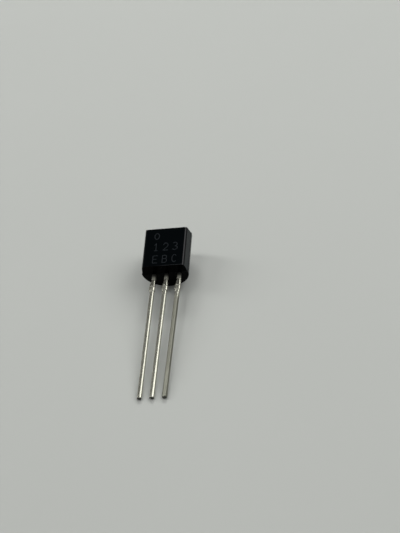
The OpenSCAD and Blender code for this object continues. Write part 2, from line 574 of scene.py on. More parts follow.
@dataclass(frozen=True, kw_only=True)
class UnevenFinish(Finish):
    """A finish whose colour and gloss wander between two states.

    Attributes:
        dark: Its darker colour.
        light: Its lighter colour.
        roughness: Its roughness where it is dark and where it is light, or one number for both.
    """

    dark: Colour
    light: Colour
    roughness: Union[Point2, float]

    def dress(self, graph: Graph, place: Socket, masks: dict[str, Socket]) -> dict[str, Value]:
        """Gives the colour and the roughness, which follow the smudges, or the grain where there are none.

        Args:
            graph: The material's graph.
            place: The Object coordinates.
            masks: The finish's smudge mask, and its grain's height and specks.

        Returns:
            Socket name to value.
        """
        mask = masks["smudge" if self.smudge else "height"]
        wanders = isinstance(self.roughness, tuple)
        return {"Base Color": graph.mix_colour(mask, self.dark, self.light),
                "Roughness": graph.mix_value(mask, *self.roughness) if wanders else self.roughness}


@dataclass(frozen=True, kw_only=True)
class MouldedEpoxy(Finish):
    """Filled black epoxy, with the fine matt texture of an eroded mould and paler worn edges. It also carries
    painted light: painted shade on the end that the leads leave, a painted reflection of the pale floor on
    the sides and a painted highlight along the rim between the flat and that end.

    The spans say how far a normal points to the side, ahead or up where a state starts and is full.

    Attributes:
        base: Colour of the moulded skin.
        worn: Colour of rubbed edges and of bared filler.
        side: Colour of the sides, a painted reflection of the pale floor.
        rim: Colour of the painted highlight on the edge between the flat and the end that the leads leave,
            with a painted glint at its right corner.
        roughness: Roughness of the skin between and in the smudges.
        speck_share: How far a speck shows the filler.
        wear_width: Width of a rubbed edge, in millimetres.
        wear_break: Size of the breaks in its wear, in millimetres.
        wear_share: How far it is rubbed.
        burnish: How far the long edges beside the flat are burnished, between 0 and 1.
        burnish_roughness: Roughness of the burnish.
        rim_glint: How strong the rim's painted highlight is at distances to the right of the middle, in
            millimetres.
        end_shade: How much painted shade darkens the end that the leads leave, between 0 and 1.
        end_span: Where the painted shade on that end starts and is full.
        side_span: Where the painted floor reflection on a side starts and is full.
        rim_spans: Where the rim starts and where it ends, ahead.
        edge_spans: Where a long edge starts and where it ends, to the side.
        up_span: Where the rim and the long edges start and are full, upwards.
    """

    smudge: Smudge = Smudge(size=1.6, contrast=0.6)
    grain: Grain = Grain(size=0.045, specks=0.35, depth=0.0006)
    specular: float = 0.02
    base: Colour = (0.0012, 0.0021, 0.0026)
    worn: Colour = (0.012, 0.013, 0.0135)
    side: Colour = (0.031, 0.0345, 0.0355)
    rim: Colour = (0.075, 0.079, 0.082)
    roughness: Point2 = (0.15, 0.21)
    speck_share: float = 0.30
    wear_width: float = 0.12
    wear_break: float = 0.25
    wear_share: float = 0.7
    burnish: float = 0.4
    burnish_roughness: float = 0.12
    rim_glint: Stops = ((-0.7, 0.0), (0.2, 0.34), (1.5, 0.34), (2.1, 0.7))
    end_shade: float = 0.75
    end_span: Point2 = (0.85, 0.95)
    side_span: Point2 = (0.90, 0.97)
    rim_spans: tuple[Point2, Point2] = ((0.15, 0.40), (0.75, 0.92))
    edge_spans: tuple[Point2, Point2] = ((0.15, 0.40), (0.85, 0.95))
    up_span: Point2 = (0.0, 0.2)

    def dress(self, graph: Graph, place: Socket, masks: dict[str, Socket]) -> dict[str, Value]:
        """Gives the epoxy's colour with its painted shade, reflection and highlight, its gloss and the
        burnish of its long edges.

        Args:
            graph: The material's graph.
            place: The Object coordinates.
            masks: The finish's smudge mask, and its grain's height and specks.

        Returns:
            Socket name to value.
        """
        wear = graph.node("ShaderNodeGroup", {"Vector": place, "Width": self.wear_width,
                                              "Break Size": self.wear_break}, node_tree=Effects.wear())
        speckled = graph.mix_colour(graph.times(masks["specks"], self.speck_share), self.base, self.worn)
        rubbed = graph.mix_colour(graph.times(wear.outputs["Mask"], self.wear_share), speckled, self.worn)
        right, back, up = graph.separate(graph.node("ShaderNodeNewGeometry").outputs["Normal"])
        sideways, ahead = graph.math("ABSOLUTE", right), graph.times(back, -1.0)
        upward = graph.span(up, *self.up_span)
        # Painted shade: on faces that point ahead, at the lead end, the colour is darkened towards black.
        polished = graph.mix_colour(graph.span(ahead, *self.end_span, 0.0, self.end_shade), rubbed, BLACK)
        # Painted reflection: faces that point to the side take a paler colour in place of the pale floor that
        # they reflect.
        side_reflected = graph.mix_colour(graph.span(sideways, *self.side_span), polished, self.side)
        # Painted highlight: a pale line along the rim above the lead end, growing to a painted glint at its
        # right corner.
        across, reach = graph.separate(place)[0], self.rim_glint[0][1]
        for (start, low), (end, high) in zip(self.rim_glint, self.rim_glint[1:]):
            reach = graph.math("ADD", reach, graph.span(across, start * MM, end * MM, 0.0, high - low))
        rim = graph.times(graph.band(ahead, *self.rim_spans), upward, reach)
        edge = graph.times(graph.band(sideways, *self.edge_spans), upward)
        return {"Base Color": graph.mix_colour(rim, side_reflected, self.rim),
                "Coat Weight": graph.times(edge, self.burnish),
                "Coat Roughness": self.burnish_roughness,
                "Roughness": graph.mix_value(masks["smudge"], *self.roughness)}


@dataclass(frozen=True, kw_only=True)
class TinnedLead(Finish):
    """A lead dipped in tin: bright and softly waved where it is coated, dull where the metal is bare.

    The mesh says where the metal is bare, where the tin is dull and where a film darkens it, by its
    attributes of those names. A film of 0.5 is frosted metal and one of 1 is dark resin. The film also
    carries painted shade where a lead leaves the body and painted dark breaks in the highlight at the stubs'
    shoulders.

    Attributes:
        coat: Colour of the bright tin.
        oxide: Colour of the dull tin.
        bare: Colour of the bare metal.
        frost: Colour of metal raw from the cutter, or under the thin end of a resin film.
        frost_film: The film at which the metal has that colour.
        film: Colour of metal under the thick end of that film, which is also the colour of the painted shade
            where a lead leaves the body.
        coat_roughness: Roughness of the bright tin.
        oxide_roughness: Roughness of the dull tin.
        bare_roughness: Roughness of the bare metal.
        film_roughness: Roughness of filmed or raw metal.
        film_metal: How metallic filmed or raw metal still looks, between 0 and 1.
        patch_share: How far the smudges dull the bright tin.
        pit_share: How far the specks bare the metal.
    """

    smudge: Smudge = Smudge(size=0.9, contrast=0.7)
    grain: Grain = Grain(size=0.07, specks=0.3, depth=0.0004)
    coat: Colour = (0.50, 0.496, 0.42)
    oxide: Colour = (0.215, 0.216, 0.178)
    bare: Colour = (0.44, 0.436, 0.367)
    frost: Colour = (0.20, 0.20, 0.166)
    frost_film: float = 0.5
    film: Colour = (0.015, 0.015, 0.0125)
    coat_roughness: float = 0.20
    oxide_roughness: float = 0.42
    bare_roughness: float = 0.20
    film_roughness: float = 0.45
    film_metal: float = 0.25
    patch_share: float = 0.25
    pit_share: float = 0.3

    def dress(self, graph: Graph, place: Socket, masks: dict[str, Socket]) -> dict[str, Value]:
        """Gives the lead's colour, how metallic it looks and its gloss.

        Args:
            graph: The material's graph.
            place: The Object coordinates.
            masks: The finish's smudge mask, and its grain's height and specks.

        Returns:
            Socket name to value.
        """
        bare, dull, film = (graph.node("ShaderNodeAttribute", attribute_name=name).outputs["Fac"]
                            for name in ("bare", "dull", "film"))
        patch = graph.times(masks["smudge"], self.patch_share)
        tarnish = graph.math("ADD", dull, graph.times(patch, graph.math("SUBTRACT", 1.0, dull)))
        tin = graph.mix_colour(tarnish, self.coat, self.oxide)
        pitted = graph.mix_colour(graph.times(masks["specks"], self.pit_share), tin, self.bare)
        clean = graph.mix_colour(bare, pitted, self.bare)
        # A film towards 1 darkens the metal: resin on the neck, partly painted shade of the body there, and
        # painted dark breaks in the highlight at the shoulders.
        raw, resin = graph.span(film, 0.0, self.frost_film), graph.span(film, self.frost_film, 1.0)
        gloss = graph.mix_value(tarnish, self.coat_roughness, self.oxide_roughness)
        metal_gloss = graph.mix_value(bare, gloss, self.bare_roughness)
        return {"Base Color": graph.mix_colour(resin, graph.mix_colour(raw, clean, self.frost), self.film),
                "Metallic": graph.mix_value(raw, 1.0, self.film_metal),
                "Roughness": graph.mix_value(raw, metal_gloss, self.film_roughness)}


@dataclass(frozen=True, kw_only=True)
class PolishedSilicon(Finish):
    """The chip: polished silicon with two metal bond pads on its face.

    Attributes:
        centre: Centre of the chip's face in the row frame, in metres.
        tilt: How far the package is turned about the row's X, in radians.
        pad_offset: Distance of each pad from the chip's centre along both sides, in millimetres.
        pad_side: Side of a square pad, in millimetres.
        silicon: Colour of the polished silicon, plain and where it shines.
        metal: Colour of the pads.
        roughness: Roughness of the silicon and of the pads.
    """

    smudge: Smudge = Smudge(size=0.3, contrast=0.3)
    metallic: float = 1.0
    centre: tuple[float, float, float]
    tilt: float
    pad_offset: float = 0.11
    pad_side: float = 0.13
    silicon: tuple[Colour, Colour] = ((0.11, 0.125, 0.16), (0.143, 0.1625, 0.208))
    metal: Colour = (0.78, 0.77, 0.74)
    roughness: Point2 = (0.12, 0.3)

    def dress(self, graph: Graph, place: Socket, masks: dict[str, Socket]) -> dict[str, Value]:
        """Gives the silicon's colour and gloss, with the pads on it.

        Args:
            graph: The material's graph.
            place: The Object coordinates.
            masks: The finish's smudge mask, and its grain's height and specks.

        Returns:
            Socket name to value.
        """
        moved = graph.vector("SUBTRACT", place, self.centre)
        turned = graph.node("ShaderNodeMapping", {"Vector": moved, "Rotation": (-self.tilt, 0.0, 0.0),
                                                  "Scale": (1 / MM,) * 3})
        across, up, _ = graph.separate(turned.outputs[0])
        pads = graph.math("MAXIMUM", *(self.pad(graph, across, up, side) for side in (1.0, -1.0)))
        wafer = graph.mix_colour(masks["smudge"], *self.silicon)
        return {"Base Color": graph.mix_colour(pads, wafer, self.metal),
                "Roughness": graph.mix_value(pads, *self.roughness)}

    def pad(self, graph: Graph, across: Value, up: Value, side: float) -> Value:
        """Draws one pad.

        Args:
            graph: The material's graph.
            across: Distance to the right of the chip's centre, in millimetres.
            up: Distance up from there, in millimetres.
            side: 1 for the upper pad, -1 for the lower one.

        Returns:
            A mask that is 1 on the pad.
        """
        offsets = [graph.math("ADD", across, self.pad_offset),
                   graph.math("SUBTRACT", up, side * self.pad_offset)]
        return graph.times(*(graph.math("LESS_THAN", graph.math("ABSOLUTE", offset), self.pad_side / 2)
                             for offset in offsets))


LASER_MARK = UnevenFinish(
    name="laser mark", slot="epoxy", grain=Grain(size=0.03, specks=0.5, depth=0.004), specular=0.15,
    dark=(0.0066, 0.0088, 0.011), light=(0.012, 0.016, 0.020), roughness=0.75)
DIE_SOLDER = UnevenFinish(
    name="die solder", slot="die_solder", smudge=Smudge(size=0.12, contrast=0.9),
    grain=Grain(size=0.02, specks=0.6, depth=0.002), metallic=1.0,
    dark=(0.21, 0.217, 0.231), light=(0.30, 0.31, 0.33), roughness=(0.42, 0.58))
DRAWN_GOLD = UnevenFinish(
    name="drawn gold", slot="gold_wire", smudge=Smudge(size=0.05, contrast=0.6), metallic=1.0,
    dark=(0.774, 0.492, 0.147), light=(0.86, 0.60, 0.21), roughness=(0.18, 0.28))
PALE_SURFACE = UnevenFinish(
    name="pale surface", slot="", smudge=Smudge(size=30.0, contrast=0.4), specular=0.2,
    dark=(0.492, 0.507, 0.480), light=(0.50676, 0.52221, 0.4944), roughness=0.9)


# --- Making meshes ---

def link(name: str, data: bpy.types.ID) -> Piece:
    """Puts a mesh, a lamp or a camera in the scene.

    Args:
        name: The object's name.
        data: What it carries.

    Returns:
        The object.
    """
    made = bpy.data.objects.new(name, data)
    bpy.context.scene.collection.objects.link(made)
    return made


def settle(source: Piece) -> Mesh:
    """Turns an object with live modifiers into a plain mesh, and takes the object away.

    Args:
        source: The object.

    Returns:
        The mesh that its modifiers leave.
    """
    depsgraph = bpy.context.evaluated_depsgraph_get()
    mesh = bpy.data.meshes.new_from_object(source.evaluated_get(depsgraph), preserve_all_data_layers=True,
                                           depsgraph=depsgraph)
    bpy.data.objects.remove(source)
    return mesh


def apply_tree(mesh: Mesh, tree: Tree, values: dict[str, Any]) -> Mesh:
    """Runs a Geometry Nodes tree on a mesh.

    Args:
        mesh: What goes in.
        tree: The tree.
        values: Input name to value.

    Returns:
        The plain mesh that comes out.
    """
    carrier = link(tree.name, mesh)
    modifier = carrier.modifiers.new(tree.name, "NODES")
    modifier.node_group = tree
    sockets = {item.name: item.identifier for item in tree.interface.items_tree
               if item.item_type == "SOCKET" and item.in_out == "INPUT"}
    for name, value in values.items():
        modifier[sockets[name]] = value
    return settle(carrier)


def edge_paths(name: str, paths: Sequence[Sequence[Vector]], closed: bool = False,
               layers: dict[str, Sequence[float]] | None = None) -> Mesh:
    """Makes a mesh of edges through rows of points.

    Args:
        name: The mesh's name.
        paths: The rows of points, in order.
        closed: Whether the last point of a row joins its first.
        layers: Attribute name to a number for each point.

    Returns:
        The mesh.
    """
    points: list[Vector] = []
    edges: list[tuple[int, int]] = []
    for path in paths:
        first, last = len(points), len(points) + len(path) - 1
        edges += [(i, i + 1) for i in range(first, last)] + ([(last, first)] if closed else [])
        points += path
    mesh = bpy.data.meshes.new(name)
    mesh.from_pydata([tuple(point) for point in points], edges, [])
    for layer, numbers in (layers or {}).items():
        mesh.attributes.new(layer, "FLOAT", "POINT").data.foreach_set("value", list(numbers))
    return mesh


def harden(shape: Shell, name: str) -> Mesh:
    """Turns a shape in the making into a mesh, and frees it.

    Args:
        shape: The shape.
        name: The mesh's name.

    Returns:
        The mesh.
    """
    mesh = bpy.data.meshes.new(name)
    shape.to_mesh(mesh)
    shape.free()
    return mesh


@dataclass
class SubAssembly:
    """A group of pieces of the package that share one finish.

    Attributes:
        axes: The package's axes.
        finish: The finish.
    """

    axes: PackageAxes
    finish: Finish

    def lay_down(self, mesh: Mesh, name: str) -> Piece:
        """Lays a finished mesh down in the row frame, with its finish and the body it rides on.

        Args:
            mesh: The mesh, in package millimetres.
            name: The piece's name.

        Returns:
            The piece.
        """
        mesh.name = name
        mesh.transform(self.axes.to_row)
        mesh.materials.clear()
        mesh.materials.append(self.finish.build())
        piece = link(name, mesh)
        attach(piece, BODY)
        return piece


# --- The moulded body ---

@dataclass
class MouldedBody(SubAssembly):
    """The black epoxy block: a flat front half and a round back half, closed at the parting line.

    Sizes are in millimetres and degrees.

    Attributes:
        side_flare: How far each side leans in over the front half.
        edge_radius: Radius of the long edges beside the flat.
        front_draft: Draft of the front half's end faces.
        back_draft: Draft of the back half's end faces.
        band_depth: Straight band before the round back begins.
        parting_step: Step between the halves along the parting line.
        rim_radius: Rounding of the edges round the lead end, the sides and the back.
        far_radius: Rounding of the flat's far edge, at most rim_radius.
        rim_steps: Steps in those roundings.
        sharp: Angle past which an edge is rounded.
        arc_steps: Steps in a rounded long edge.
        back_steps: Steps in the round back.
        flash_height: How far the ragged fin stands out of the parting line.
        flash_thickness: Thickness of that fin.
        flash_step: Distance between the stations of its outline.
        flash_raggedness: How ragged it is, between 0 and 1.
        flash_seed: Seed of its raggedness.
        gate_size: Width and height of the scar where the gate broke off the far end.
        gate_reach: How far the scar stands out of the end.
        gate_root: How far inside the block it begins.
        gate_rough: Lowest and highest point of its rough face, as shares of gate_reach.
        gate_wander: How far its outline wanders, as a share of its height.
        gate_cells: Cells of its rough face along its width and height.
        gate_seed: Seed of its roughness.
    """

    side_flare: float = 0.185
    edge_radius: float = 0.30
    front_draft: float = 5.0
    back_draft: float = 4.2
    band_depth: float = 0.05
    parting_step: float = 0.03
    rim_radius: float = 0.05
    far_radius: float = 0.035
    rim_steps: int = 4
    sharp: float = 30.0
    arc_steps: int = 10
    back_steps: int = 72
    flash_height: float = 0.022
    flash_thickness: float = 0.016
    flash_step: float = 0.04
    flash_raggedness: float = 0.8
    flash_seed: int = 7
    gate_size: Point2 = (0.90, 0.24)
    gate_reach: float = 0.03
    gate_root: float = 0.60
    gate_rough: Point2 = (0.35, 1.0)
    gate_wander: float = 0.1
    gate_cells: tuple[int, int] = (18, 6)
    gate_seed: int = 5
    width: float = field(init=False)
    height: float = field(init=False)
    front_depth: float = field(init=False)

    def __post_init__(self) -> None:
        """Takes the overall sizes from the CAD node."""
        _, high = self.axes.node_box("moulded_body")
        self.width, self.height, self.front_depth = 2 * high.x, high.y, high.z

    def front_outline(self) -> list[Point2]:
        """Draws the front half's outline as the leads' side shows it.

        Returns:
            Its points in x and z, from the right parting edge over to the left one.
        """
        lean = math.atan(self.side_flare / self.front_depth)
        half = self.width / 2 - self.parting_step
        setback = self.edge_radius * math.tan((math.pi / 2 - lean) / 2)
        centre = (half - self.side_flare - setback, self.front_depth - self.edge_radius)
        corner = arc(centre, (self.edge_radius, self.edge_radius), math.degrees(lean), 90, self.arc_steps)
        return [(half, 0.0), *corner, *[(-x, z) for x, z in reversed(corner)], (-half, 0.0)]

    def back_outline(self) -> list[Point2]:
        """Draws the back half's outline as the leads' side shows it.

        Returns:
            Its points in x and z, from the left parting edge under to the right one.
        """
        radius = self.width / 2
        return [(-radius, 0.0), *arc((0.0, -self.band_depth), (radius, radius), 180, 360, self.back_steps),
                (radius, 0.0)]

    def half_shell(self, shell: Shell, outline: list[Point2], start: float,
                   draft: float) -> list[bmesh.types.BMVert]:
        """Adds one half: its walls and its two leaning end faces.

        Args:
            shell: The shape that it goes into.
            outline: The half's outline in x and z.
            start: How far the end faces stand in at the parting plane.
            draft: How they lean in, in degrees.

        Returns:
            The half's four corners at the parting plane.
        """
        slope = math.tan(math.radians(draft))
        near, far = [], []
        for x, z in outline:
            inset = start + abs(z) * slope
            near.append(shell.verts.new((x, inset, z)))
            far.append(shell.verts.new((x, self.height - inset, z)))
        for i in range(len(outline) - 1):
            shell.faces.new((near[i], near[i + 1], far[i + 1], far[i]))
        shell.faces.new(near)
        shell.faces.new(list(reversed(far)))
        return [near[0], near[-1], far[-1], far[0]]

    def weigh_edges(self, shell: Shell) -> None:
        """Marks the edges to round, each with its share of rim_radius.

        Args:
            shell: The closed shell.
        """
        weights = shell.edges.layers.float.new("bevel_weight_edge")
        for edge in shell.edges:
            middle = (edge.verts[0].co + edge.verts[1].co) / 2
            if abs(middle.z) < WELD or edge.calc_face_angle(0.0) < math.radians(self.sharp):
                continue
            on_flat = middle.z > self.front_depth - self.edge_radius
            far = middle.y > self.height / 2 and on_flat
            edge[weights] = self.far_radius / self.rim_radius if far else 1.0

    def build_shell(self) -> Piece:
        """Builds the block with its rounded edges.

        Returns:
            The piece, in the row frame.
        """
        shell = bmesh.new()
        front = self.half_shell(shell, self.front_outline(), self.parting_step, self.front_draft)
        back = self.half_shell(shell, self.back_outline(), 0.0, self.back_draft)
        outer = [back[1], back[0], back[3], back[2]]
        for i, j in ((0, 1), (1, 2), (2, 3), (3, 0)):
            shell.faces.new((front[i], front[j], outer[j], outer[i]))
        bmesh.ops.recalc_face_normals(shell, faces=shell.faces)
        self.weigh_edges(shell)
        carrier = link("moulded_block_raw", harden(shell, "moulded_block_raw"))
        carrier.data.shade_smooth()
        bevel = carrier.modifiers.new("rounding", "BEVEL")
        bevel.limit_method = "WEIGHT"
        bevel.width = self.rim_radius
        bevel.segments = self.rim_steps
        bevel.use_clamp_overlap = False
        even = carrier.modifiers.new("flat faces stay flat", "WEIGHTED_NORMAL")
        even.mode = "FACE_AREA"
        even.weight = 100
        return self.lay_down(settle(carrier), "moulded_block")

    def build_flash(self) -> Piece:
        """Builds the thin ragged fin that the mould leaves along the parting line.

        Returns:
            The piece, in the row frame.
        """
        half, low = self.width / 2 - self.parting_step, self.parting_step
        high = self.height - low
        corners = [Vector((x, y, 0)) for x, y in ((half, low), (half, high), (-half, high), (-half, low))]
        fin = apply_tree(edge_paths("parting_line", [corners], closed=True), ragged_fin_tree(), {
            "Material": self.finish.build(), "Thickness": self.flash_thickness,
            "Reach": self.parting_step + self.flash_height, "Step": self.flash_step,
            "Raggedness": self.flash_raggedness, "Seed": self.flash_seed})
        return self.lay_down(fin, "parting_flash")

    def build_gate_scar(self) -> Piece:
        """Builds the rough scar that the broken gate leaves on the far end, just above the parting line.

        Returns:
            The piece, in the row frame.
        """
        chance = random.Random(self.gate_seed)
        slope = math.tan(math.radians(self.front_draft))
        scar = bmesh.new()
        bmesh.ops.create_grid(scar, x_segments=self.gate_cells[0], y_segments=self.gate_cells[1], size=0.5)
        for vert in scar.verts:
            x, z = vert.co.x * self.gate_size[0], (vert.co.y + 0.5) * self.gate_size[1]
            face = self.height - self.parting_step - z * slope
            out = 0.0 if vert.is_boundary else chance.uniform(*self.gate_rough)
            ragged = chance.uniform(-self.gate_wander, self.gate_wander) if vert.is_boundary else 0.0
            ragged *= self.gate_size[1]
            vert.co = Vector((x + ragged, face + out * self.gate_reach, max(z + ragged, 0.0)))
        rim = [edge for edge in scar.edges if edge.is_boundary]
        sunk = bmesh.ops.extrude_edge_only(scar, edges=rim)["geom"]
        for vert in (item for item in sunk if isinstance(item, bmesh.types.BMVert)):
            vert.co.y = self.height - self.gate_root
        bmesh.ops.holes_fill(scar, edges=scar.edges)
        bmesh.ops.recalc_face_normals(scar, faces=scar.faces)
        # The sunk rim and its fill come in an order that changes from run to run, so the faces are sorted.
        for i, face in enumerate(sorted(scar.faces, key=lambda face: tuple(face.calc_center_median()))):
            face.index = i
        scar.faces.sort()
        return self.lay_down(harden(scar, "gate_scar"), "gate_scar")

    def dress(self) -> list[Piece]:
        """Builds the block, its flash and its gate scar, and hides the CAD node, whose place the block takes.

        Returns:
            The three pieces.
        """
        pieces = [self.build_shell(), self.build_flash(), self.build_gate_scar()]
        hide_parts("moulded_body")
        return pieces


def ragged_fin_tree() -> Tree:
    """Builds a Geometry Nodes tree: a thin fin along a closed level path, standing outwards unevenly.

    Returns:
        The tree. Its inputs are the path and, in millimetres, the fin's thickness, reach and step, then how
        ragged it is and the seed of its noise.
    """
    graph, takes, gives = new_group(
        "ragged fin", "GeometryNodeTree",
        {"Path": "Geometry", "Material": "Material", "Thickness": 0.02, "Reach": 0.05, "Step": 0.05,
         "Raggedness": 0.5, "Seed": 0}, {"Geometry": "Geometry"})
    curve = graph.node("GeometryNodeMeshToCurve", {"Mesh": takes["Path"]}).outputs[0]
    even = graph.node("GeometryNodeResampleCurve", {"Curve": curve, "Length": takes["Step"]}, mode="LENGTH")
    tangent = graph.node("GeometryNodeInputTangent").outputs[0]
    place = graph.node("GeometryNodeInputPosition").outputs[0]
    noise = graph.noise(place, scale=2.2, detail=6.0, roughness=0.75, seed=takes["Seed"])
    share = graph.mix_value(takes["Raggedness"], 1.0, graph.span(noise, *RAGGED_SPAN))
    edge = graph.capture(even.outputs[0], Outward=graph.vector("CROSS_PRODUCT", tangent, (0.0, 0.0, 1.0)),
                         Reach=graph.times(share, takes["Reach"]))
    swept, unit, centre = graph.sweep(edge[0], sides=6, caps=False)
    along, up, _ = graph.separate(unit)
    lift = graph.combine(0.0, 0.0, graph.times(up, graph.times(takes["Thickness"], 0.5)))
    out = graph.scaled(edge["Outward"], graph.times(along, edge["Reach"]))
    moved = graph.vector("ADD", graph.vector("ADD", centre, out), lift)
    shaped = graph.node("GeometryNodeSetPosition", {"Geometry": swept, "Position": moved})
    return graph.close(shaped.outputs[0], takes["Material"], gives["Geometry"])


# --- The leads ---

@dataclass(frozen=True)
class LeadForm:
    """The shape that the three leads share, in millimetres and degrees.

    Attributes:
        thickness: Thickness of a lead with its tin.
        width: Width over most of its length.
        neck_width: Width where it leaves the body.
        neck_length: Length of that neck.
        slim: How much slimmer it is at its root and where the tin begins. Half as much where its ramp begins.
        stub_start: Distance from the body to the sheared stubs.
        stub_width: Width across the stubs.
        stub_length: Length of the stubs.
        taper: Length over which the width changes.
        root: How far inside the body the dressed shank begins.
        coat_start: Distance from the body at which the tin begins.
        coat_edge: How bare the metal still is there, between 0 and 1.
        coat_fade: Length over which the tin thickens.
        neck_film_and_shade: How filmed the neck is with resin at distances from the body: 0.5 is frosted, 1
            is dark. Its darkest part, at the body, is partly resin and partly painted shade of the body.
        shoulder_raw_and_shade: How filmed or raw the metal looks at the stubs' shoulders, on the same scale.
            Its dark bands are partly raw metal and partly painted breaks in the highlight.
        shear_film: The same on the stubs' sheared sides.
        tip_film: The same on the sheared tip.
        shoulder_band: Half the length of the raw, partly painted-dark band at a shoulder.
        ramp: Length over which the lead widens towards the stubs on the body's side.
        bare_squareness: Power of the section's outline where the metal is bare: large is square.
        tip_radius: Rounding of the sheared tip.
        ring_step: Distance between the rings of the mesh.
        sides: Points round the section.
        flat_angle: Angle under which neighbouring faces of the stamping count as one.
        sharp_angle: Angle past which an edge is shaded sharp.
    """

    thickness: float = 0.38
    width: float = 0.45
    neck_width: float = 0.38
    neck_length: float = 0.60
    slim: float = 0.02
    stub_start: float = 1.50
    stub_width: float = 0.58
    stub_length: float = 0.40
    taper: float = 0.12
    root: float = 0.10
    coat_start: float = 0.80
    coat_edge: float = 0.7
    coat_fade: float = 0.90
    neck_film_and_shade: Stops = ((0.0, 1.0), (0.15, 0.95), (0.30, 0.83), (0.42, 0.62), (0.55, 0.50), (0.75, 0.0))
    shoulder_raw_and_shade: float = 0.68
    shear_film: float = 0.45
    tip_film: float = 0.80
    shoulder_band: float = 0.08
    ramp: float = 0.60
    bare_squareness: float = 3.5
    tip_radius: float = 0.03
    ring_step: float = 0.05
    sides: int = 32
    flat_angle: float = 1.0
    sharp_angle: float = 60.0

    def widths(self, length: float) -> Stops:
        """The lead's width at distances from the body, for a lead of that length."""
        stub_end = self.stub_start + self.stub_length
        return ((-self.root, self.neck_width - self.slim), (-self.root / 2, self.neck_width),
                (self.neck_length, self.neck_width), (self.coat_start, self.width - self.slim),
                (self.stub_start - self.ramp, self.width - self.slim / 2), (self.stub_start, self.stub_width),
                (stub_end, self.stub_width), (stub_end + self.taper, self.width),
                (length - self.tip_radius, self.width), (length, self.width - self.tip_radius))

    def bareness(self, length: float) -> Stops:
        """How bare the metal is at distances from the body, for a lead of that length."""
        return ((self.neck_length, 1.0), (self.coat_start, self.coat_edge),
                (self.coat_start + self.coat_fade, 0.0), (length - self.tip_radius, 0.0), (length, 1.0))

    def filming(self, length: float) -> Stops:
        """How filmed or raw the metal looks along a lead, with painted shade where it leaves the body and
        painted dark bands at the stubs' shoulders.

        Args:
            length: The lead's length.

        Returns:
            Distances from the body, each with its film.
        """
        bands = []
        # Dark bands at both shoulders of the stubs: raw metal, and painted breaks in the highlight.
        for middle in (self.stub_start - self.taper / 2, self.stub_start + self.stub_length + self.taper / 2):
            bands += [(middle - self.shoulder_band, 0.0), (middle, self.shoulder_raw_and_shade),
                      (middle + self.shoulder_band, 0.0)]
        return (*self.neck_film_and_shade, *bands, (length - 2 * self.tip_radius, 0.0), (length, self.tip_film))


@dataclass(frozen=True, kw_only=True)
class LeadCoat:
    """How one lead was cut, bent and tinned.

    Attributes:
        drift: How far it stands to the side at distances from the body, in millimetres.
        twist: How far it is twisted to the right at distances from the body, in degrees.
        cut: How much longer it was cut than the row's length, in millimetres.
        dome: Power of its section's outline at distances from the body, where it is coated: 2 is round.
        dull: How dull its tin is at distances from the body.
        ripple_height: Height of the ripple of its tin, in millimetres.
        ripple_length: Length of that ripple along the lead, in millimetres.
        seed: Seed of its ripple.
    """

    drift: Stops
    twist: Stops
    cut: float = -0.04
    dome: Stops = ((1.95, 3.2), (2.3, 2.6), (8.0, 2.7), (13.9, 3.0))
    dull: Stops = ((2.0, 0.0),)
    ripple_height: float = 0.003
    ripple_length: float = 1.2
    seed: int


COATS = {
    LeadName.EMITTER: LeadCoat(
        drift=((0.7, 0.04), (1.4, -0.04), (1.9, -0.045), (2.1, -0.01), (13.95, -0.18)),
        twist=((1.3, 0.0), (1.5, 10.0), (3.0, 14.0), (8.0, 16.0), (13.9, 20.0)),
        ripple_height=0.006, ripple_length=0.5, seed=11),
    LeadName.BASE: LeadCoat(
        drift=((0.7, 0.0), (1.4, -0.05), (1.9, -0.055), (2.1, -0.04), (13.95, -0.27)),
        twist=((1.3, 0.0), (1.5, 10.0), (3.0, 12.0), (6.0, 15.0), (13.9, 21.5)), seed=16),
    LeadName.COLLECTOR: LeadCoat(
        drift=((0.7, 0.0), (1.4, -0.05), (1.9, -0.06), (2.1, -0.04), (13.95, -0.34)),
        twist=((1.3, 0.0), (1.5, 8.0), (1.9, 8.0), (3.0, -24.0)), dome=((1.95, 3.2), (3.0, 3.4)),
        dull=((2.1, 0.0), (3.0, 0.9), (3.5, 1.0), (10.5, 1.0), (11.3, 0.8), (13.9, 1.0)), seed=21)}


def reach_down(half: Point2, power: float, twist: float) -> float:
    """Works out how far a twisted superellipse reaches below its centre.

    Args:
        half: Its half width and half thickness.
        power: Power of its outline.
        twist: How far it is twisted, in degrees.

    Returns:
        The reach, in the unit of its half sizes.
    """
    dual = power / (power - 1)
    turn = math.radians(twist)
    across, up = abs(half[0] * math.sin(turn)), abs(half[1] * math.cos(turn))
    return (across ** dual + up ** dual) ** (1 / dual)


